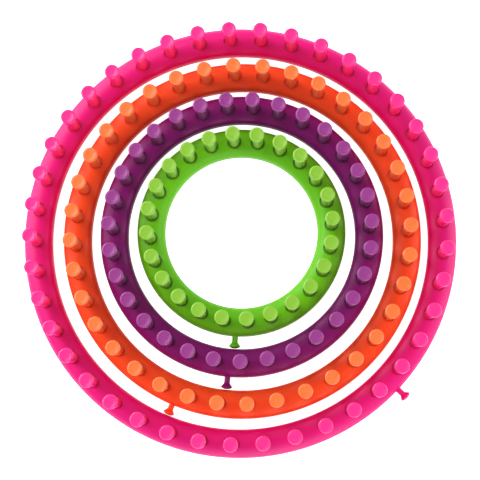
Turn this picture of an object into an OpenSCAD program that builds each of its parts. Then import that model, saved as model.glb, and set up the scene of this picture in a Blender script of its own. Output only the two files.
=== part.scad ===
// Nested set of four round knitting looms: small, medium, large and extra-large.
// Millimetres. +Z is up. The origin is on the surface that the looms stand on,
// under the middle of the extra-large loom. Each loom is a moulded ring with a
// row of pressed-in pegs on its crown and one anchor peg on its outer wall.

/* [Nest] */
// Outer diameter of the small loom
small_d = 140; // [130:1:160]
// Step in outer diameter from one loom to the next
size_step = 50; // [50:1:60]

/* [Pegs in each loom] */
// Pegs in the small loom
small_count = 24; // [22:2:26]
// Pegs in the medium loom
medium_count = 31; // [30:1:33]
// Pegs in the large loom
large_count = 36; // [34:1:36]
// Pegs in the extra-large loom
extra_large_count = 41; // [40:1:42]

/* [Ring] */
// Width of every ring from its inner wall to its outer wall
band_w = 18.8; // [18:0.2:18.8]
// Height at which the walls start to round over
wall_h = 4; // [4:0.2:5]
// Radius of the rounded shoulder above each wall
shoulder_r = 6; // [5.5:0.5:6.5]
// Radius of the shallow crown between the shoulders
crown_r = 14; // [13:0.5:16]
// Thickness of the walls and the roof
skin = 2; // [1.8:0.1:2.2]
// Thickness of the ribs that tie each peg socket to the walls
rib_t = 1.4; // [1.2:0.1:2]

/* [Peg] */
// Height of a peg's flat top above the crown
peg_rise = 31.2; // [24:0.4:32]
// Diameter of the cap
cap_d = 9.7; // [9.2:0.1:10]
// Thickness of the cap
cap_t = 3.4; // [3:0.1:4]
// Rounding of the cap's rim
cap_round = 1.1; // [0.8:0.1:1.4]
// Diameter of the stem's slimmer inner side at its foot
stem_d = 6.2; // [6:0.1:6.6]
// Diameter at the foot of its stepped-out outer side, which carries the groove
flank_d = 7.2; // [7:0.1:7.6]
// How much wider the stem is at its neck than at its foot
stem_flare = 1; // [0.6:0.1:1.2]
// Length of the taper from the neck out to the cap
neck_l = 4.5; // [3:0.5:6]
// Width of the hook groove down the outer side of the stem
groove_w = 2.8; // [2.4:0.1:3]

/* [Anchor peg] */
// Diameter of the anchor peg's shaft
anchor_d = 3.8; // [3.6:0.1:4]
// Diameter of its head
anchor_head_d = 7.4; // [6.8:0.1:7.6]

/* [Hidden] */
$fn = 96;

// One entry per loom, from the small one out.
LOOMS = ["small", "medium", "large", "extra_large"];
COUNT = [small_count, medium_count, large_count, extra_large_count];
// Clock angle of the first peg, in degrees clockwise from +Y.
FIRST = [10.8, 5.6, 7.7, 6.3];
// The anchor stands midway between this peg and the next one.
ANCHOR_AFTER = [11, 15, 19, 14];
// How far each anchor stands out of its ring: just short of the next loom.
ANCHOR_REACH = [8, 8.1, 7, 8];
// Centre of each ring: the anchors push every loom off centre in the next one.
CENTRE = [[1.1, 5.3], [1.3, 3.05], [1.45, 0.7], [0, 0]];
// Neighbouring pegs that make up one node.
PER_GROUP = [2, 3, 3, 3];

RING_COLOUR = [[0.33, 0.66, 0.03], [0.42, 0.08, 0.38], [0.96, 0.24, 0.12], [0.86, 0.06, 0.42]];
PEG_COLOUR = [[0.58, 0.86, 0.3], [0.66, 0.3, 0.62], [1, 0.55, 0.3], [1, 0.27, 0.63]];

// The crown and the shoulders are tangent arcs, which fixes the crown's height.
shoulder_x = band_w / 2 - shoulder_r;
crown_drop = sqrt(pow(crown_r - shoulder_r, 2) - pow(shoulder_x, 2));
crown_z = wall_h - crown_drop;
ring_h = crown_z + crown_r;

// A peg's collar sits in a recess in the crown and its tail goes down the socket.
fit = 0.05;
recess_depth = 2.4;
collar_l = 0.9;
collar_d = 9.1;
seat_z = ring_h - recess_depth;
socket_d = 10.8;
socket_z = 3;
tail_d = 5.9;
tail_end_z = 3.6;
tail_chamfer = 0.8;
cap_z = ring_h + peg_rise - cap_t;
neck_z = cap_z - neck_l + cap_round;
stem_x = -0.3;
stem_edge = 0.2;
step_x = -0.4;
groove_in = 1.5;

anchor_z = 4.2;
anchor_seat = 0.6;
tenon_d = 3;
tenon_l = 3.4;
rim_r = 0.75;
dome = 0.7;
flare_l = 2.6;
head_flat = 1.9;
over = 5;

function outer_r(i) = (small_d + i * size_step) / 2;
function mid_r(i) = outer_r(i) - band_w / 2;
function groups(i) = ceil(COUNT[i] / PER_GROUP[i]);
function pegs_name(i, g) = str(LOOMS[i], "_pegs_", g);
// Turn from +X to peg number k of loom i.
function peg_turn(i, k) = 90 - FIRST[i] - k * 360 / COUNT[i];

// Cross-section of the filled ring about mid-band, set in by t all round.
module band_section(t) {
    half = band_w / 2 - t;
    reach = 1.2 * crown_r;
    lean = asin(shoulder_x / (crown_r - shoulder_r));
    translate([-half, -over])
        square([2 * half, wall_h + over]);
    for (side = [-1, 1])
        translate([side * shoulder_x, wall_h])
            circle(shoulder_r - t);
    intersection() {
        translate([0, crown_z])
            circle(crown_r - t);
        translate([0, crown_z])
            polygon([
                [0, 0],
                [-reach * sin(lean), reach * cos(lean)],
                [0, reach / cos(lean)],
                [reach * sin(lean), reach * cos(lean)]
            ]);
    }
}

// The ring's section swept round loom i, set in by t and cut off at height z.
module band(i, t, z) {
    rotate_extrude($fn = 180)
        translate([mid_r(i), 0])
            intersection() {
                band_section(t);
                translate([-band_w, z])
                    square([2 * band_w, 3 * ring_h]);
            }
}

// Puts its children at peg number k of loom i, with +X pointing outwards.
module at_peg(i, k) {
    rotate([0, 0, peg_turn(i, k)])
        translate([mid_r(i), 0, 0])
            children();
}

// Puts its children where loom i stands in the nest.
module in_nest(i) {
    translate([CENTRE[i][0], CENTRE[i][1], 0])
        children();
}

// The socket under one peg, with the rib that ties it to both walls.
module socket() {
    translate([0, 0, socket_z])
        cylinder(d = socket_d, h = 2 * ring_h);
    translate([-band_w, -rib_t / 2, socket_z])
        cube([2 * band_w, rib_t, 2 * ring_h]);
}

// The recess for the collar and the bore for the tail.
module peg_hole() {
    translate([0, 0, -over])
        cylinder(d = tail_d + 2 * fit, h = 2 * ring_h);
    translate([0, 0, seat_z])
        cylinder(d = collar_d + 2 * fit, h = ring_h);
}

// Puts its children on the outer wall of loom i, with +Z pointing outwards.
module at_anchor(i) {
    rotate([0, 0, peg_turn(i, ANCHOR_AFTER[i] + 0.5)])
        translate([outer_r(i), 0, anchor_z])
            rotate([0, 90, 0])
                children();
}

// Ring: a crowned channel, open underneath, with a socket for every peg.
module ring(i) {
    color(RING_COLOUR[i])
        in_nest(i)
            difference() {
                band(i, 0, 0);
                difference() {
                    band(i, skin, -1);
                    for (k = [0:COUNT[i] - 1])
                        at_peg(i, k)
                            socket();
                }
                for (k = [0:COUNT[i] - 1])
                    at_peg(i, k)
                        peg_hole();
                at_anchor(i) {
                    translate([0, 0, -tenon_l - 1])
                        cylinder(d = tenon_d + 2 * fit, h = tenon_l + over);
                    translate([0, 0, -anchor_seat])
                        cylinder(d = anchor_d + 2 * fit, h = over);
                }
            }
}

// Cap: a flat disc with a rounded rim, standing on z = 0.
module cap() {
    rotate_extrude() {
        square([cap_d / 2 - cap_round, cap_t]);
        translate([0, cap_round])
            square([cap_d / 2, cap_t - 2 * cap_round]);
        for (z = [cap_round, cap_t - cap_round])
            translate([cap_d / 2 - cap_round, z])
                circle(cap_round);
    }
}

// A column from the seat up, d wide at its foot and standing x off the peg's axis,
// with the taper that widens it until it is just inside the cap's edge.
module stem(d, x) {
    neck_d = d + stem_flare;
    rise = neck_z - seat_z;
    // The column carries on at its own slope inside the taper.
    overlap = neck_l / 4;
    translate([x, 0, seat_z])
        cylinder(d1 = d, d2 = neck_d + stem_flare * overlap / rise, h = rise + overlap);
    translate([x, 0, neck_z])
        cylinder(d1 = neck_d, d2 = cap_d - 2 * abs(x) - stem_edge, h = neck_l);
}

// Peg: tail, collar, stepped and grooved stem and cap, at its own height.
module peg() {
    difference() {
        union() {
            translate([0, 0, tail_end_z])
                cylinder(d1 = tail_d - 2 * tail_chamfer, d2 = tail_d, h = tail_chamfer);
            translate([0, 0, tail_end_z + tail_chamfer])
                cylinder(d = tail_d, h = seat_z - tail_end_z);
            translate([0, 0, seat_z])
                cylinder(d = collar_d, h = collar_l);
            stem(stem_d, stem_x);
            intersection() {
                stem(flank_d, 0);
                translate([step_x, -cap_d, 0])
                    cube([cap_d, 2 * cap_d, cap_z + cap_t]);
            }
            translate([0, 0, cap_z])
                cap();
        }
        translate([flank_d / 2 + groove_w / 2 - groove_in, 0, ring_h - 1])
            cylinder(d = groove_w, h = neck_z - ring_h + 2);
    }
}

// Pegs: one node of neighbouring pegs from loom i.
module peg_group(i, g) {
    first = (g - 1) * PER_GROUP[i];
    last = min(g * PER_GROUP[i], COUNT[i]) - 1;
    color(PEG_COLOUR[i])
        in_nest(i)
            for (k = [first:last])
                at_peg(i, k)
                    peg();
}

// Anchor peg: tenon in the ring's wall, shaft, flared neck and rounded head.
module anchor(i) {
    rim_z = ANCHOR_REACH[i] - rim_r - dome;
    color(RING_COLOUR[i])
        in_nest(i)
            at_anchor(i) {
                translate([0, 0, -tenon_l])
                    cylinder(d = tenon_d, h = tenon_l + 1);
                translate([0, 0, -anchor_seat])
                    cylinder(d = anchor_d, h = anchor_seat + ANCHOR_REACH[i] - 1);
                translate([0, 0, rim_z - flare_l])
                    cylinder(d1 = anchor_d, d2 = anchor_head_d - rim_r, h = flare_l);
                translate([0, 0, rim_z])
                    rotate_extrude() {
                        translate([anchor_head_d / 2 - rim_r, 0])
                            circle(rim_r);
                        translate([0, -rim_r])
                            square([anchor_head_d / 2 - rim_r, 2 * rim_r]);
                    }
                translate([0, 0, rim_z + rim_r])
                    cylinder(d1 = anchor_head_d - 2 * rim_r, d2 = 2 * head_flat, h = dome);
            }
}

for (i = [0:3]) {
    ring(i);
    anchor(i);
    for (g = [1:groups(i)])
        peg_group(i, g);
}
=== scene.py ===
"""Nested set of four round knitting looms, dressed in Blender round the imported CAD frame."""

import math
import random

import bpy
from mathutils import Matrix, Vector


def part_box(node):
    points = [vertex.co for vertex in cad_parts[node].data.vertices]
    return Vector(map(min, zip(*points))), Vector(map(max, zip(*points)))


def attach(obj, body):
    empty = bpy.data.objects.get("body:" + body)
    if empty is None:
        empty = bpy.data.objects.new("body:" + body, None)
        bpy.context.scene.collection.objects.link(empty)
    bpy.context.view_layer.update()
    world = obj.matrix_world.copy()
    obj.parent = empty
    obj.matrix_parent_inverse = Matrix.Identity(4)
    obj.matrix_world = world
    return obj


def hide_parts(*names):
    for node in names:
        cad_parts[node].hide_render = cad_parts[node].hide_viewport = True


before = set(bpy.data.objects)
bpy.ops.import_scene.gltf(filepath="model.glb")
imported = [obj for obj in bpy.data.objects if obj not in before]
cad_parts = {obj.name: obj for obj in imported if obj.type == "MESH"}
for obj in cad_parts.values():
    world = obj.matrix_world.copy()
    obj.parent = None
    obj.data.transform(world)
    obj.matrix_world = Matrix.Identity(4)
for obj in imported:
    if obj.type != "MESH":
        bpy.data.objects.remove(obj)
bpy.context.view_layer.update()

MM = 0.001

# One entry per loom: pegs, clock angle of the first peg in degrees clockwise
# from +Y, the peg that the anchor follows, how far the anchor stands out in
# millimetres, and how many pegs share a CAD node.
LOOMS = {
    "small": dict(pegs=24, first=10.8, anchor_after=11, reach=8.0, per_node=2),
    "medium": dict(pegs=31, first=5.6, anchor_after=15, reach=8.1, per_node=3),
    "large": dict(pegs=36, first=7.7, anchor_after=19, reach=7.0, per_node=3),
    "extra_large": dict(pegs=41, first=6.3, anchor_after=14, reach=8.0, per_node=3),
}

# Ring, in millimetres. Its section is measured from mid-band and from the table. The
# recess for a peg's collar starts to open out RECESS_EDGE below the crown.
BAND = 18.8
WALL = 4.0
SHOULDER = 6.0
CROWN = 14.0
SKIN = 2.0
FOOT_ROUND = 0.45
RIB = 1.4
SOCKET_R = 5.4
SOCKET_Z = 3.0
RECESS_BEVEL = 0.15
RECESS_EDGE = 0.4
SHOULDER_X = BAND / 2 - SHOULDER
CROWN_Z = WALL - math.sqrt((CROWN - SHOULDER) ** 2 - SHOULDER_X ** 2)
RING_H = CROWN_Z + CROWN
LEAN = math.asin(SHOULDER_X / (CROWN - SHOULDER))

# Peg, in millimetres. Its groove and its wider half face out of the loom, and the
# stem's radius grows by FLARE_OUT from its foot to its neck. Each peg stands turned
# by up to TWIST degrees either way.
RISE = 31.2
COLUMN_R = 3.1
COLUMN_X = -0.3
FLANK_R = 3.6
FLARE_OUT = 0.5
STEP_X = -0.4
GROOVE_R = 1.4
GROOVE_IN = 1.5
LIP_R = 0.25
CORNER_R = 0.2
CAP_R = 4.85
CAP_T = 3.4
CAP_ROUND = 1.1
DISH = 0.18
DISH_RIM = 0.15
DISH_SLOPE = 0.3
DISH_CENTRE = 1.2
NECK = 4.5
TAIL_R = 2.95
TAIL_Z = 3.6
TAIL_CHAMFER = 0.8
SEAT = 2.4
COLLAR = 0.9
COLLAR_R = 4.55
FIT = 0.05
TWIST = 4

# Anchor peg, in millimetres out from the ring's wall.
ANCHOR_Z = 4.2
ANCHOR_SEAT = 0.6
ANCHOR_R = 1.9
HEAD_R = 3.7
HEAD_RIM = 0.75
HEAD_DOME = 0.7
FLARE = 2.6
FLARE_R = 1.6
FLARE_EASE = 0.4
TENON_R = 1.5
TENON = 3.4
TENON_CHAMFER = 0.3

# Colours of the rings and of the pegs, linear.
RING_COLOUR = {
    "small": (0.15, 0.52, 0.0),
    "medium": (0.24, 0.001, 0.16),
    "large": (1.0, 0.078, 0.01),
    "extra_large": (0.66, 0.002, 0.18),
}
PEG_COLOUR = {
    "small": (0.22, 0.46, 0.025),
    "medium": (0.27, 0.028, 0.215),
    "large": (0.92, 0.165, 0.03),
    "extra_large": (0.9, 0.015, 0.235),
}

# How far past a surface a cutting mesh reaches, in millimetres.
PAST = 1

# Finish: roughness, specular level, share of light that goes under the skin, and
# how far the highlights take on the plastic's own colour.
RING_FINISH = dict(rough=0.37, shine=0.5, milky=0.45, tint=0.45)
PEG_FINISH = dict(rough=0.3, shine=0.7, milky=0.5, tint=0.1)


# ---- outlines and meshes ----

def arc(centre, radius, start, end, count):
    """Points on an arc about centre, between two angles in degrees, both ends included."""
    points = []
    for k in range(count):
        a = math.radians(start + (end - start) * k / (count - 1))
        points.append((centre[0] + radius * math.cos(a), centre[1] + radius * math.sin(a)))
    return points


def circle(radius, z, count):
    """A level circle of points about the Z axis."""
    step = 2 * math.pi / count
    return [
        (radius * math.cos(k * step), radius * math.sin(k * step), z)
        for k in range(count)
    ]


def loft(sections, closed=False, name="loft"):
    """A closed mesh through equal loops of 3-D points in millimetres.

    A closed loft joins its last loop to its first; an open one is capped at both ends."""
    count = len(sections[0])
    points = [Vector(p) * MM for loop in sections for p in loop]
    faces = []
    for s in range(len(sections) - (0 if closed else 1)):
        low, high = s * count, (s + 1) % len(sections) * count
        for k in range(count):
            n = (k + 1) % count
            faces.append((low + k, low + n, high + n, high + k))
    if not closed:
        faces.append(tuple(reversed(range(count))))
        faces.append(tuple(range(len(points) - count, len(points))))
    mesh = bpy.data.meshes.new(name)
    mesh.from_pydata(points, [], faces)
    mesh.validate()
    return mesh


def turned(profile):
    """A solid of revolution about Z from (radius, z) points, capped at both ends."""
    sides = 48
    return loft([circle(r, z, sides) for r, z in profile], name="turned")


def joined(parts, name):
    """One mesh of separate closed shells, each a mesh with the transform that places it."""
    points, faces = [], []
    for mesh, place in parts:
        base = len(points)
        points += [place @ v.co for v in mesh.vertices]
        faces += [tuple(base + i for i in f.vertices) for f in mesh.polygons]
    whole = bpy.data.meshes.new(name)
    whole.from_pydata(points, [], faces)
    whole.validate()
    return whole


def cut(mesh, cutters):
    """The mesh with each cutter mesh taken out of it, one after the other."""
    target = bpy.data.objects.new("cut_target", mesh)
    bpy.context.scene.collection.objects.link(target)
    tools = []
    for k, cutter in enumerate(cutters):
        tool = bpy.data.objects.new(f"cut_tool_{k}", cutter)
        bpy.context.scene.collection.objects.link(tool)
        tools.append(tool)
        modifier = target.modifiers.new(f"cut_{k}", "BOOLEAN")
        modifier.operation = "DIFFERENCE"
        modifier.solver = "MANIFOLD"
        modifier.object = tool
    bpy.context.view_layer.update()
    depsgraph = bpy.context.evaluated_depsgraph_get()
    result = bpy.data.meshes.new_from_object(target.evaluated_get(depsgraph))
    result.materials.clear()
    for spent in [target, *tools]:
        bpy.data.objects.remove(spent)
    return result


def smooth(mesh, degrees):
    """Smooth shading, with the edges sharper than this angle kept sharp."""
    mesh.shade_smooth()
    mesh.set_sharp_from_angle(angle=math.radians(degrees))


def add(name, mesh, body, material, nodes):
    """Puts a mesh in the scene as a piece that rides on a body and stands for CAD nodes."""
    piece = bpy.data.objects.new(name, mesh)
    bpy.context.scene.collection.objects.link(piece)
    if not mesh.materials:
        mesh.materials.append(material)
    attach(piece, body)
    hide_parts(*nodes)
    return piece


# ---- places ----

class Loom:
    """Where one loom's ring, pegs and anchor are, read from the CAD ring's box."""

    def __init__(self, name):
        low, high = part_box(f"{name}_ring")
        self.name = name
        self.body = f"{name}_loom"
        self.centre = Vector(((low.x + high.x) / 2, (low.y + high.y) / 2, 0))
        self.outer = round((high.x - low.x) / 2 / MM)
        self.mid = self.outer - BAND / 2
        self.pegs = LOOMS[name]["pegs"]
        self.first = LOOMS[name]["first"]
        self.anchor_after = LOOMS[name]["anchor_after"]
        self.reach = LOOMS[name]["reach"]
        self.per_node = LOOMS[name]["per_node"]

    def turn(self, k):
        """Angle of peg k from +X, in radians. A half lands between two pegs."""
        return math.radians(90 - self.first - k * 360 / self.pegs)

    def at_peg(self, k):
        """Transform that puts a mesh about the Z axis at peg k, its +X facing outwards."""
        turn = Matrix.Rotation(self.turn(k), 4, "Z")
        return turn @ Matrix.Translation((self.mid * MM, 0, 0))

    def at_anchor(self):
        """Transform that puts a mesh about the Z axis on the outer wall, its +Z outwards."""
        turn = Matrix.Rotation(self.turn(self.anchor_after + 0.5), 4, "Z")
        out = Matrix.Translation((self.outer * MM, 0, ANCHOR_Z * MM))
        return turn @ out @ Matrix.Rotation(math.pi / 2, 4, "Y")


# ---- ring ----

def band_profile(inset, foot):
    """The ring's section as a closed loop of (offset from mid-band, height) points.

    Its foot is rounded, or open: carried on below the table and flared, to cut with."""
    half = BAND / 2 - inset
    lean = math.degrees(LEAN)
    right = arc((SHOULDER_X, WALL), SHOULDER - inset, 0, 90 - lean, 12)
    crown = arc((0, CROWN_Z), CROWN - inset, 90 - lean, 90 + lean, 20)[1:-1]
    left = [(-x, z) for x, z in reversed(right)]
    over = right + crown + left
    if foot == "rounded":
        turn = arc((half - FOOT_ROUND, FOOT_ROUND), FOOT_ROUND, -90, 0, 4)
        under = [(-x, z) for x, z in reversed(turn)]
        return turn + over + under
    below = -PAST / 2
    flare = [(half + FOOT_ROUND, below), (half + FOOT_ROUND, 0.0), (half, FOOT_ROUND)]
    return flare + over + [(-x, z) for x, z in reversed(flare)]


def band(loom, inset, foot):
    """The section swept round the loom."""
    profile = band_profile(inset, foot)
    steps = 288
    sections = []
    for k in range(steps):
        a = 2 * math.pi * k / steps
        sections.append([
            ((loom.mid + x) * math.cos(a), (loom.mid + x) * math.sin(a), z)
            for x, z in profile
        ])
    return loft(sections, closed=True)


def skin_normal(loom, point):
    """The outward normal of the ring's outer skin nearest to a point."""
    x, y, z = (c / MM for c in point)
    radius = math.hypot(x, y)
    rho = radius - loom.mid
    side = 1 if rho > 0 else -1
    if z < WALL:
        across, up = side, 0.0
    elif math.atan2(abs(rho), z - CROWN_Z) < LEAN:
        across, up = rho, z - CROWN_Z
    else:
        across, up = rho - side * SHOULDER_X, z - WALL
    length = math.hypot(across, up)
    across, up = across / length, up / length
    return Vector((across * x / radius, across * y / radius, up))


def shade_skin(loom, mesh):
    """Gives the swept skin its true normals, so the cut faces round each hole stay smooth."""
    smooth(mesh, 30)
    normals = [Vector(n.vector) for n in mesh.corner_normals]
    # The cosine of about 20 degrees.
    nearly_along = 0.94
    for face in mesh.polygons:
        x, y, z = (c / MM for c in face.center)
        offset = abs(math.hypot(x, y) - loom.mid)
        on_wall_or_roof = offset > BAND / 2 - SKIN / 2 or z > WALL
        in_hole = offset < SHOULDER_X and z < RING_H - SEAT / 3
        along_skin = face.normal.dot(skin_normal(loom, face.center)) >= nearly_along
        if z < FOOT_ROUND or in_hole or not (on_wall_or_roof and along_skin):
            continue
        for corner in face.loop_indices:
            vertex = mesh.vertices[mesh.loops[corner].vertex_index]
            normals[corner] = skin_normal(loom, vertex.co)
    mesh.normals_split_custom_set(normals)


def ring_mesh(loom):
    """Crowned channel, open underneath, with a ribbed socket and a recess for every peg."""
    tall = 2 * RING_H
    socket = turned([(SOCKET_R, SOCKET_Z), (SOCKET_R, tall)])
    half = RIB / 2
    rib = loft([
        [(-BAND, -half, z), (BAND, -half, z), (BAND, half, z), (-BAND, half, z)]
        for z in (SOCKET_Z, tall)
    ])
    seat_z = RING_H - SEAT
    recess_r = COLLAR_R + FIT
    hole = turned([
        (TAIL_R + FIT, -PAST),
        (TAIL_R + FIT, seat_z),
        (recess_r, seat_z),
        (recess_r, RING_H - RECESS_EDGE),
        (recess_r + RECESS_BEVEL, RING_H - RECESS_BEVEL),
        (recess_r + 4 * RECESS_BEVEL, RING_H + 2 * RECESS_BEVEL),
    ])
    places = [loom.at_peg(k) for k in range(loom.pegs)]
    sockets = joined([(socket, p) for p in places], "sockets")
    ribs = joined([(rib, p) for p in places], "ribs")
    holes = joined([(hole, p) for p in places], "holes")
    tenon_hole = turned([
        (TENON_R + FIT, -TENON - PAST),
        (TENON_R + FIT, -ANCHOR_SEAT),
        (ANCHOR_R + FIT, -ANCHOR_SEAT),
        (ANCHOR_R + FIT, 2 * PAST),
    ])
    tenon_hole = joined([(tenon_hole, loom.at_anchor())], "tenon_hole")
    channel = cut(band(loom, SKIN, "open"), [sockets, ribs])
    mesh = cut(band(loom, 0, "rounded"), [channel, holes, tenon_hole])
    mesh.name = f"{loom.name}_ring_skin"
    shade_skin(loom, mesh)
    return mesh


# ---- pegs ----

def stem_outline(wider):
    """The stem's closed section: groove, lip, flank, step and column, with +X outwards."""
    groove_x = FLANK_R + GROOVE_R - GROOVE_IN
    flank_r, column_r = FLANK_R + wider, COLUMN_R + wider
    lip_at = flank_r - LIP_R
    lip_x = (lip_at ** 2 - (GROOVE_R + LIP_R) ** 2 + groove_x ** 2) / (2 * groove_x)
    lip = (lip_x, math.sqrt(lip_at ** 2 - lip_x ** 2))
    to_lip = math.degrees(math.atan2(lip[1], lip[0] - groove_x))
    lip_turn = math.degrees(math.atan2(lip[1], lip[0]))
    corner_x = STEP_X + CORNER_R
    corner = (corner_x, math.sqrt((flank_r - CORNER_R) ** 2 - corner_x ** 2))
    corner_turn = math.degrees(math.atan2(corner[1], corner[0]))
    column = math.degrees(math.acos((STEP_X - COLUMN_X) / column_r))
    half = arc((groove_x, 0), GROOVE_R, 180, to_lip, 8)
    half += arc(lip, LIP_R, to_lip - 180, lip_turn, 4)
    half += arc((0, 0), flank_r, lip_turn, corner_turn, 12)[1:-1]
    half += arc(corner, CORNER_R, corner_turn, 180, 4)
    half += arc((COLUMN_X, 0), column_r, column, 180, 14)
    return half + [(x, -y) for x, y in reversed(half[1:-1])]


def round_outline(outline):
    """Unit-circle partners of an outline's points, spaced as the outline's own length is."""
    count = len(outline)
    lengths = [math.dist(outline[k], outline[(k + 1) % count]) for k in range(count)]
    whole, so_far, turns = sum(lengths), 0.0, []
    for length in lengths:
        turns.append(2 * math.pi * so_far / whole)
        so_far += length
    return [(math.cos(a), math.sin(a)) for a in turns]


def peg_mesh(name):
    """Tail, collar, grooved and stepped stem, flared neck and a dished cap, rounded at its rim."""
    foot, neck = stem_outline(0), stem_outline(FLARE_OUT)
    unit = round_outline(neck)

    def disc(radius, z):
        return [(radius * x, radius * y, z) for x, y in unit]

    def blend(t, z):
        return [
            (p[0] + t * (CAP_R * u[0] - p[0]), p[1] + t * (CAP_R * u[1] - p[1]), z)
            for p, u in zip(neck, unit)
        ]

    seat_z = RING_H - SEAT
    top = RING_H + RISE
    neck_z = top - CAP_T - NECK + CAP_ROUND
    rim_z = top - CAP_T + CAP_ROUND
    loops = [disc(TAIL_R - TAIL_CHAMFER, TAIL_Z), disc(TAIL_R, TAIL_Z + TAIL_CHAMFER)]
    loops += [disc(TAIL_R, seat_z)]
    loops += [disc(COLLAR_R, seat_z), disc(COLLAR_R, seat_z + COLLAR)]
    loops += [[(x, y, seat_z + COLLAR) for x, y in foot], blend(0, neck_z)]
    # The neck swells from the stem's outline into the cap's circle, partly straight
    # and partly eased at both ends.
    eased, straight = 0.4, 0.6
    for t in (0.1, 0.25, 0.42, 0.6, 0.78, 0.92, 1.0):
        swell = t * t * (3 - 2 * t) * eased + t * straight
        loops.append(blend(swell, neck_z + t * (rim_z - neck_z)))
    loops += [
        disc(r, z)
        for r, z in arc((CAP_R - CAP_ROUND, top - CAP_ROUND), CAP_ROUND, 0, 90, 8)
    ]
    # The top dips by DISH inside a narrow rim, which falls a hair towards the dip.
    fall = 0.02
    rim_in = CAP_R - CAP_ROUND - DISH_RIM
    loops += [disc(rim_in, top - fall), disc(rim_in - DISH_SLOPE, top - DISH)]
    loops += [disc(DISH_CENTRE, top - DISH)]
    mesh = loft(loops, name=name)
    smooth(mesh, 38)
    return mesh


def anchor_mesh(loom):
    """Tenon, shaft, flared neck and a rounded head, turned about the wall's outward line."""
    end = loom.reach
    rim_z = end - HEAD_RIM - HEAD_DOME
    neck = arc((ANCHOR_R + FLARE_R, rim_z - FLARE - FLARE_EASE), FLARE_R, 180, 130, 7)
    head = arc((HEAD_R - HEAD_RIM, rim_z), HEAD_RIM, -50, 90, 9)
    crown = [(ANCHOR_R, end - 0.12), (1.2, end), (0.3, end)]
    profile = [(TENON_R - TENON_CHAMFER, -TENON), (TENON_R, -TENON + TENON_CHAMFER)]
    profile += [(TENON_R, -ANCHOR_SEAT), (ANCHOR_R, -ANCHOR_SEAT)]
    mesh = turned(profile + neck + head + crown)
    mesh.transform(loom.at_anchor())
    smooth(mesh, 40)
    return mesh


# ---- materials ----

def plastic(name, colour, rough, shine, milky, tint):
    """Moulded satin plastic: faint flow shades, uneven gloss and a fine skin texture.

    In crevices, round each peg's foot and in its recess, an ambient-occlusion mask darkens the
    base colour towards its square: painted shade."""
    material = bpy.data.materials.new(name)
    material.use_nodes = True
    nodes, links = material.node_tree.nodes, material.node_tree.links
    shader = nodes["Principled BSDF"]
    place = nodes.new("ShaderNodeTexCoord").outputs["Object"]

    def noise(scale, detail):
        node = nodes.new("ShaderNodeTexNoise")
        node.inputs["Scale"].default_value = scale
        node.inputs["Detail"].default_value = detail
        links.new(place, node.inputs["Vector"])
        return node.outputs["Fac"]

    darker, lighter = 0.93, 1.06
    flow = nodes.new("ShaderNodeMix")
    flow.data_type = "RGBA"
    flow.inputs["A"].default_value = (*[c * darker for c in colour], 1)
    flow.inputs["B"].default_value = (*[min(c * lighter, 1) for c in colour], 1)
    links.new(noise(scale=35, detail=3), flow.inputs["Factor"])

    # Painted shade: where the ambient-occlusion mask finds the surface hemmed in, the base colour
    # darkens towards its square.
    painted_shade_ao = nodes.new("ShaderNodeAmbientOcclusion")
    painted_shade_ao.samples = 8
    painted_shade_ao.inputs["Distance"].default_value = 6 * MM
    openness = nodes.new("ShaderNodeMapRange")
    openness.inputs["From Min"].default_value = 0.15
    openness.inputs["From Max"].default_value = 0.65
    links.new(painted_shade_ao.outputs["AO"], openness.inputs["Value"])
    shade = nodes.new("ShaderNodeMix")
    shade.data_type = "RGBA"
    shade.inputs["A"].default_value = (*[c * c for c in colour], 1)
    links.new(flow.outputs["Result"], shade.inputs["B"])
    links.new(openness.outputs["Result"], shade.inputs["Factor"])
    links.new(shade.outputs["Result"], shader.inputs["Base Color"])

    gloss = nodes.new("ShaderNodeMapRange")
    gloss.inputs["To Min"].default_value = rough - 0.05
    gloss.inputs["To Max"].default_value = rough + 0.06
    links.new(noise(scale=90, detail=4), gloss.inputs["Value"])
    links.new(gloss.outputs["Result"], shader.inputs["Roughness"])

    fine = nodes.new("ShaderNodeBump")
    fine.inputs["Strength"].default_value = 0.12
    fine.inputs["Distance"].default_value = 0.05 * MM
    links.new(noise(scale=1800, detail=4), fine.inputs["Height"])
    wave = nodes.new("ShaderNodeBump")
    wave.inputs["Strength"].default_value = 0.25
    wave.inputs["Distance"].default_value = 0.2 * MM
    links.new(noise(scale=60, detail=2), wave.inputs["Height"])
    links.new(wave.outputs["Normal"], fine.inputs["Normal"])
    links.new(fine.outputs["Normal"], shader.inputs["Normal"])
    shader.inputs["IOR"].default_value = 1.49
    shader.inputs["Specular IOR Level"].default_value = shine
    shader.inputs["Specular Tint"].default_value = (*[1 - tint * (1 - c) for c in colour], 1)
    shader.inputs["Subsurface Weight"].default_value = milky
    shader.inputs["Subsurface Radius"].default_value = [0.2 + 0.8 * c for c in colour]
    shader.inputs["Subsurface Scale"].default_value = 4 * MM
    return material


def paper():
    """Matt white sheet under the looms, lit from below and brightest to the camera."""
    material = bpy.data.materials.new("floor_paper")
    material.use_nodes = True
    nodes, links = material.node_tree.nodes, material.node_tree.links
    shader = nodes["Principled BSDF"]
    shader.inputs["Base Color"].default_value = (0.93, 0.93, 0.93, 1)
    shader.inputs["Roughness"].default_value = 0.9
    shader.inputs["Specular IOR Level"].default_value = 0.2
    shader.inputs["Emission Color"].default_value = (1, 1, 1, 1)
    glow = nodes.new("ShaderNodeMapRange")
    glow.inputs["To Min"].default_value = 0.4
    glow.inputs["To Max"].default_value = 1.0
    links.new(nodes.new("ShaderNodeLightPath").outputs["Is Camera Ray"], glow.inputs["Value"])
    links.new(glow.outputs["Result"], shader.inputs["Emission Strength"])
    return material


# ---- the looms ----

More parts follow.
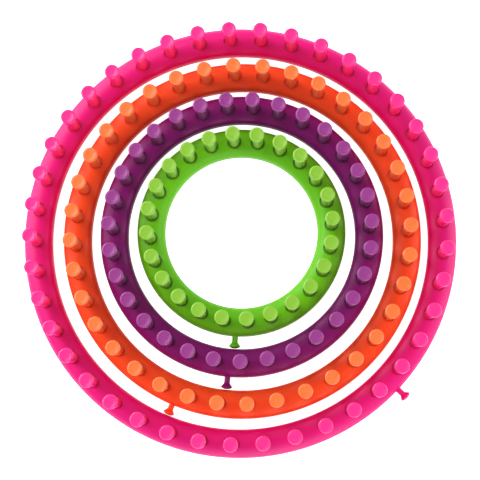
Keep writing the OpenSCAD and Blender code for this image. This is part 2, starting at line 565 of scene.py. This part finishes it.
def build_loom(name):
    """One loom: its ring, its anchor peg and its row of pegs, each a piece of its own."""
    loom = Loom(name)
    ring_plastic = plastic(f"{name}_ring_plastic", RING_COLOUR[name], **RING_FINISH)
    peg_plastic = plastic(f"{name}_peg_plastic", PEG_COLOUR[name], **PEG_FINISH)
    place = Matrix.Translation(loom.centre)

    mesh = ring_mesh(loom)
    mesh.transform(place)
    add(f"{name}_ring_body", mesh, loom.body, ring_plastic, [f"{name}_ring"])
    mesh = anchor_mesh(loom)
    mesh.transform(place)
    add(f"{name}_anchor_peg", mesh, loom.body, ring_plastic, [f"{name}_anchor"])

    shape = peg_mesh(f"{name}_peg_shape")
    shape.materials.append(peg_plastic)
    loose = random.Random(loom.pegs)
    for k in range(loom.pegs):
        node = f"{name}_pegs_{k // loom.per_node + 1}"
        peg = add(f"{name}_peg_{k + 1:02d}", shape, loom.body, peg_plastic, [node])
        twist = Matrix.Rotation(math.radians(loose.uniform(-TWIST, TWIST)), 4, "Z")
        peg.matrix_world = place @ loom.at_peg(k) @ twist


for loom_name in LOOMS:
    build_loom(loom_name)


# ---- studio ----

def area_light(name, place, size, power):
    """A square soft light at place, pointed at the origin, in metres and watts."""
    data = bpy.data.lights.new(name, "AREA")
    data.size = size
    data.energy = power
    light = bpy.data.objects.new(name, data)
    light.location = place
    light.rotation_euler = (-Vector(place)).to_track_quat("-Z", "Y").to_euler()
    bpy.context.scene.collection.objects.link(light)


def surround():
    """White walls all round the sheet, fading to a dim ceiling."""
    world = bpy.data.worlds.new("surround")
    world.use_nodes = True
    nodes, links = world.node_tree.nodes, world.node_tree.links
    axes = nodes.new("ShaderNodeSeparateXYZ")
    links.new(nodes.new("ShaderNodeTexCoord").outputs["Generated"], axes.inputs["Vector"])
    fade = nodes.new("ShaderNodeMapRange")
    fade.interpolation_type = "SMOOTHSTEP"
    fade.inputs["From Min"].default_value = 0.1
    fade.inputs["From Max"].default_value = 0.6
    fade.inputs["To Min"].default_value = 1.4
    fade.inputs["To Max"].default_value = 0.45
    links.new(axes.outputs["Z"], fade.inputs["Value"])
    links.new(fade.outputs["Result"], nodes["Background"].inputs["Strength"])
    nodes["Background"].inputs["Color"].default_value = (1, 1, 1, 1)
    bpy.context.scene.world = world


def studio():
    """White sheet, bright surround, one large soft light from the upper left and two fills."""
    half = 4.0
    sink = 0.2 * MM
    mesh = bpy.data.meshes.new("floor_sheet")
    corners = [(-half, -half, 0), (half, -half, 0), (half, half, 0), (-half, half, 0)]
    mesh.from_pydata(corners, [], [(0, 1, 2, 3)])
    mesh.materials.append(paper())
    floor = bpy.data.objects.new("floor_sheet", mesh)
    floor.location.z = -sink
    bpy.context.scene.collection.objects.link(floor)
    surround()
    area_light("key", (-1.2, 0.75, 0.95), size=1.6, power=35)
    area_light("front_fill", (0.3, -1.4, 0.7), size=1.3, power=12)
    area_light("right_fill", (1.5, 0.1, 0.8), size=1.3, power=13)
    bpy.context.scene.view_settings.view_transform = "Standard"


def camera():
    """The photograph's view: nearly overhead, a little from the front and the right."""
    place = (0.03318, -0.11625, 0.98561)
    pitch, yaw = math.radians(6.755), math.radians(1.919)
    back = Vector((
        math.sin(yaw) * math.cos(pitch),
        -math.sin(pitch),
        math.cos(yaw) * math.cos(pitch),
    ))
    right = Vector((0, 1, 0)).cross(back).normalized()
    up = back.cross(right)
    data = bpy.data.cameras.new("camera")
    data.lens = 110.41
    data.sensor_width = 36
    turn = Matrix((right, up, back)).transposed().to_4x4()
    eye = bpy.data.objects.new("camera", data)
    eye.matrix_world = Matrix.Translation(place) @ turn
    bpy.context.scene.collection.objects.link(eye)
    bpy.context.scene.camera = eye


studio()
camera()
